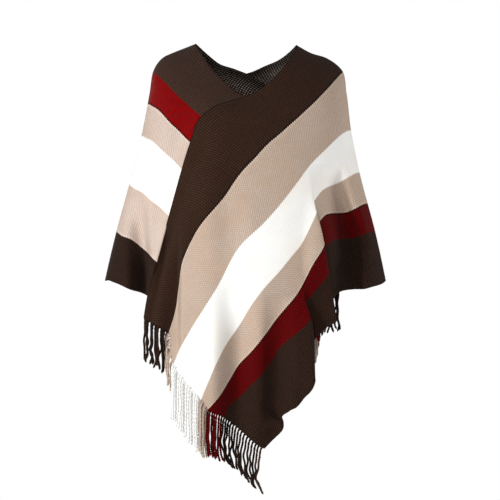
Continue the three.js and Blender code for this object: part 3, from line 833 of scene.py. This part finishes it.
def purl_group():
    """The back of knitting: rows of round bumps, each row half a bump on from the last.

    A bump's height is the root of a parabola both ways."""
    tree, w, given, result = node_group(
        "knit_back", [("Cloth", "Vector"), ("Wale", "Float"), ("Course", "Float")],
        [("Height", "Float"), ("Groove", "Float"), ("Stitch", "Float")])
    place = w.split(given["Cloth"])
    rows = w.math("DIVIDE", place["Y"], given["Course"])
    row = w.math("FLOOR", rows)
    half_step = w.math("MULTIPLY", w.math("PINGPONG", row, 1.0), 0.5)
    wales = w.math("ADD", w.math("DIVIDE", place["X"], given["Wale"]), half_step)
    height = w.math("SQRT", w.math("MULTIPLY", w.arched(wales), w.arched(rows)))
    w.put(result["Height"], height)
    w.put(result["Groove"], w.between(height, *BACK_GROOVE, 1.0, 0.0))
    w.put(result["Stitch"], w.random_cell(w.math("FLOOR", wales), row))
    return tree


def heather_group():
    """What the yarn itself adds: noise for its fibres, and slow noises for its tone and warmth."""
    tree, w, given, result = node_group(
        "yarn_heather", [("Place", "Vector")],
        [("Fibre", "Float"), ("Drift", "Float"), ("Warmth", "Float")])
    w.put(result["Fibre"], w.noise(given["Place"], FIBRE_SCALE, 2.0))
    w.put(result["Drift"], w.noise(given["Place"], DRIFT_SCALE, 2.0))
    w.put(result["Warmth"], w.noise(given["Place"], WARMTH_SCALE, 1.0))
    return tree


def stripe_ramp(w, place, stripes):
    """Colours across a panel. Where a light stripe meets a dark one, a thin painted highlight lies on the
    light one and a thin painted shade on the dark one."""
    ramp = w.node("ValToRGB")
    ramp.color_ramp.interpolation = "CONSTANT"
    bands = [(0.0, stripes[0][3])]
    for before, after in zip(stripes, stripes[1:]):
        border = after[1]
        light = [sum(stripe[3]) > LIGHT_SUM for stripe in (before, after)]
        factor = [1.0, 1.0]
        # Painted highlight on the light side of a border, painted shade on its dark side
        if light[0] != light[1]:
            factor = [PAINTED_HIGHLIGHT_LINE if here else PAINTED_SHADE_LINE for here in light]
        bands.append((border - BORDER_LINE, np.array(before[3]) * factor[0]))
        bands.append((border, np.array(after[3]) * factor[1]))
        bands.append((border + BORDER_LINE, after[3]))
    stops = ramp.color_ramp.elements
    while len(stops) > 1:
        stops.remove(stops[-1])
    stops[0].position = 0
    stops[0].color = srgb(bands[0][1])
    for start, color in bands[1:]:
        stop = stops.new(start / PANEL_WIDTH)
        stop.color = srgb(color)
    w.put(ramp.inputs[0], w.math("DIVIDE", place, PANEL_WIDTH * MM))
    return ramp.outputs[0]


def cloth_shader(name):
    """A new material with a rough fabric shader."""
    material = bpy.data.materials.new(name)
    material.use_nodes = True
    shader = material.node_tree.nodes["Principled BSDF"]
    shader.inputs["Roughness"].default_value = ROUGHNESS
    shader.inputs["Specular IOR Level"].default_value = SPECULAR
    shader.inputs["Sheen Weight"].default_value = SHEEN
    shader.inputs["Sheen Roughness"].default_value = SHEEN_ROUGHNESS
    return material, shader, Wiring(material.node_tree)


def use_group(w, tree, **values):
    """A shader group placed in a material with its own values, as its outputs."""
    made = w.node("Group", node_tree=tree)
    for key, value in values.items():
        w.put(made.inputs[key], value)
    return made.outputs


def add_bump(w, shader, height, strength, distance):
    """A height in place of the smooth surface, as deep as the distance in metres."""
    bump = w.node("Bump")
    w.put(bump.inputs["Strength"], strength)
    bump.inputs["Distance"].default_value = distance
    w.put(bump.inputs["Height"], height)
    w.put(shader.inputs["Normal"], bump.outputs[0])


def knit_material(name, stripes, purl):
    """Striped knitting seen from its face, or from its back where purl is true."""
    material, shader, w = cloth_shader(name)
    uv = w.node("UVMap", uv_map="cloth").outputs[0]
    heather = use_group(w, HEATHER, Place=w.node("TexCoord").outputs["Object"])
    if purl:
        knit = use_group(w, PURL, Cloth=uv, Wale=BACK_WALE, Course=BACK_COURSE)
        across = w.split(uv)["Y"]
        color = stripe_ramp(w, across, stripes)
        # Painted highlight on the inside's crests
        color = w.mix(w.between(knit["Groove"], 0.0, PAINTED_HIGHLIGHT_PALE_CREST, PAINTED_HIGHLIGHT_PALE_SHARE, 0.0), color, PAINTED_HIGHLIGHT_PALE)
        # Painted shade on the inside along its neck side
        color = w.brightness(color, w.between(across, PAINTED_EDGE_SHADE_FROM, PAINTED_EDGE_SHADE_TO, PAINTED_EDGE_SHADE, 1.0))
        depth, painted_crest_highlight, painted_groove_shade = BACK_RELIEF
    else:
        knit = use_group(w, FACE, Cloth=uv, Wale=WALE, Course=COURSE)
        color = stripe_ramp(w, knit["Row Place"], stripes)
        depth, painted_crest_highlight, painted_groove_shade = FACE_RELIEF
    lightness = w.node("RGBToBW")
    w.put(lightness.inputs[0], color)
    spared = w.math("POWER", lightness.outputs[0], SPARED_POWER)
    # Painted highlight on the crests and painted shade in the grooves
    tone = w.between(knit["Groove"], 0.0, 1.0, painted_crest_highlight, painted_groove_shade)
    tone = w.varied(tone, knit["Stitch"], STITCH_SHARE)
    tone = w.varied(tone, heather["Fibre"], FIBRE_SHARE)
    tone = w.math("MULTIPLY_ADD", w.math("SUBTRACT", 1.0, tone), spared, tone)
    tone = w.varied(tone, heather["Drift"], DRIFT_SHARE)
    warm = w.mix(w.between(heather["Warmth"], *WARMTH, 0.0, 1.0), color, WARM_TINT, "MULTIPLY")
    w.put(shader.inputs["Base Color"], w.brightness(warm, tone))
    relief = w.math("ADD", knit["Height"], w.math("MULTIPLY", heather["Fibre"], FIBRE_SHARE))
    add_bump(w, shader, relief, w.math("MULTIPLY_ADD", spared, -BUMP_SPARED, BUMP_DARK), depth)
    return material


def yarn_material(name, color, lowest_shade, shade_range):
    """Twisted yarn with fibres. A strand's tone is the lowest shade, and the range times the square of its
    own shade."""
    material, shader, w = cloth_shader(name)
    uv = w.split(w.node("UVMap", uv_map="cloth").outputs[0])
    heather = use_group(w, HEATHER, Place=w.node("TexCoord").outputs["Object"])
    twist = w.math("SINE", w.math("MULTIPLY", uv["Y"], 2 * np.pi / TWIST_STEP))
    tone = w.math("MULTIPLY_ADD", w.math("MULTIPLY", uv["X"], uv["X"]), shade_range, lowest_shade)
    tone = w.varied(tone, heather["Fibre"], FIBRE_SHARE)
    # Painted shade in the ply's grooves and painted highlight on its ridges, following the twist's relief
    tone = w.varied(tone, twist, TWIST_SHARE)
    plain = w.node("RGB")
    plain.outputs[0].default_value = srgb(color)
    w.put(shader.inputs["Base Color"], w.brightness(plain.outputs[0], tone))
    relief = w.math("ADD", heather["Fibre"], w.math("MULTIPLY", twist, TWIST_RELIEF))
    add_bump(w, shader, relief, *YARN_BUMP)
    return material


FACE = face_group()
PURL = purl_group()
HEATHER = heather_group()

left = make_panel("panel_left", 0.0, LEFT_FOLDS, LEFT_CREASES, LEFT_STRIPES, 11)
right = make_panel("panel_right", 180.0, RIGHT_FOLDS, RIGHT_CREASES, RIGHT_STRIPES, 23)

# Yarns of the fringe: colour, name, lowest shade, range of shades, slot
YARN_TABLE = [
    (BROWN, "yarn_brown", 0.4, 1.1, "yarn_brown"),
    (RIGHT_LIT_BROWN, "yarn_grey_brown", 0.45, 1.2, "yarn_brown"),
    (SHADED_HEM_BROWN, "yarn_deep_brown", 0.4, 1.5, "yarn_brown"),
    (BEIGE, "yarn_beige", 0.8, 0.5, "yarn_beige"),
    (RIGHT_LIT_BEIGE, "yarn_warm_beige", 0.8, 0.5, "yarn_beige"),
    (CREAM, "yarn_cream", 0.92, 0.15, "yarn_cream"),
    (RED, "yarn_red", 0.6, 0.6, "yarn_red"),
    (RIGHT_LIT_RED, "yarn_bright_red", 0.6, 0.6, "yarn_red"),
]
YARNS = {color: (yarn_material(name, color, lowest, span), slot)
         for color, name, lowest, span, slot in YARN_TABLE}
for panel, slot, end in ((left, "knit_left", "front"), (right, "knit_right", "back")):
    outside = knit_material(slot, panel["stripes"], False)
    inside = knit_material(slot + "_inside", panel["stripes"], True)
    knit = panel_piece(panel, (outside, inside))
    extras = panel_beads(panel, outside) + fringe_pieces(panel, end, YARNS)


# Camera, floor and light
CAMERA_DISTANCE = 3.2
CAMERA_X = 0.0096
CAMERA_Z = -0.490
SENSOR = 36.0
PICTURE_WIDTH = 1.2               # what the picture takes in at the garment's middle
AMBIENT_LEFT = 0.19
AMBIENT_RIGHT = 0.15
FLOOR_HALF = 2.0
FLOOR_BACK = 1.2
FLOOR_LEVEL = -1.36
FLOOR_WHITE = 0.86

# Lights: name, place, the point that they look at, width across, power
LIGHTS = [
    ("key", (-2.15, -1.95, 0.15), (0, 0, -0.45), 0.6, 72),
    ("fill", (-0.25, -3.15, -0.1), (0, 0, -0.5), 0.8, 44),
    ("side", (2.35, 0.3, -0.1), (0, 0, -0.5), 1.0, 34),
    ("back", (-1.4, 3.0, 0.4), (0, 0, -0.5), 1.6, 60),
]


def make_camera():
    """A level camera that takes in the picture's width at the garment's middle."""
    data = bpy.data.cameras.new("camera")
    data.sensor_width = SENSOR
    data.lens = SENSOR * CAMERA_DISTANCE / PICTURE_WIDTH
    data.clip_end = 50
    camera = bpy.data.objects.new("camera", data)
    bpy.context.scene.collection.objects.link(camera)
    camera.location = (CAMERA_X, -CAMERA_DISTANCE, CAMERA_Z)
    camera.rotation_euler = (np.pi / 2, 0, 0)
    bpy.context.scene.camera = camera


def make_floor():
    """A white floor well below the fringe, which ends behind the garment."""
    corners = [(-FLOOR_HALF, -FLOOR_HALF), (FLOOR_HALF, -FLOOR_HALF), (FLOOR_HALF, FLOOR_BACK),
               (-FLOOR_HALF, FLOOR_BACK)]
    mesh = bpy.data.meshes.new("floor")
    mesh.from_pydata([(x, y, FLOOR_LEVEL) for x, y in corners], [], [(0, 1, 2, 3)])
    floor = bpy.data.objects.new("floor", mesh)
    bpy.context.scene.collection.objects.link(floor)
    paint = bpy.data.materials.new("floor_paint")
    paint.use_nodes = True
    paint.node_tree.nodes["Principled BSDF"].inputs["Base Color"].default_value = (*[FLOOR_WHITE] * 3, 1)
    paint.node_tree.nodes["Principled BSDF"].inputs["Roughness"].default_value = 0.8
    mesh.materials.append(paint)


def make_light(name, place, target, size, power):
    """A round lamp at a place, turned to its target."""
    data = bpy.data.lights.new(name, "AREA")
    data.shape = "DISK"
    data.size = size
    data.energy = power
    light = bpy.data.objects.new(name, data)
    bpy.context.scene.collection.objects.link(light)
    light.location = place
    light.rotation_euler = (Vector(target) - Vector(place)).to_track_quat("-Z", "Y").to_euler()


def make_world():
    """White behind the garment, and a dimmer, even light on it that is a little stronger from the left."""
    world = bpy.data.worlds.new("studio")
    bpy.context.scene.world = world
    world.use_nodes = True
    nodes, links = world.node_tree.nodes, world.node_tree.links
    background = nodes["Background"]
    background.inputs["Color"].default_value = (1, 1, 1, 1)
    seen = nodes.new("ShaderNodeLightPath")
    place = nodes.new("ShaderNodeTexCoord")
    split = nodes.new("ShaderNodeSeparateXYZ")
    links.new(place.outputs["Generated"], split.inputs[0])
    from_left = nodes.new("ShaderNodeMapRange")
    from_left.inputs["From Min"].default_value = -1.0
    from_left.inputs["To Min"].default_value = AMBIENT_LEFT
    from_left.inputs["To Max"].default_value = AMBIENT_RIGHT
    links.new(split.outputs["X"], from_left.inputs["Value"])
    strength = nodes.new("ShaderNodeMix")
    links.new(from_left.outputs[0], strength.inputs["A"])
    strength.inputs["B"].default_value = 1.0
    links.new(seen.outputs["Is Camera Ray"], strength.inputs["Factor"])
    links.new(strength.outputs["Result"], background.inputs["Strength"])


make_camera()
make_floor()
for light in LIGHTS:
    make_light(*light)
make_world()
bpy.context.scene.view_settings.view_transform = "Standard"
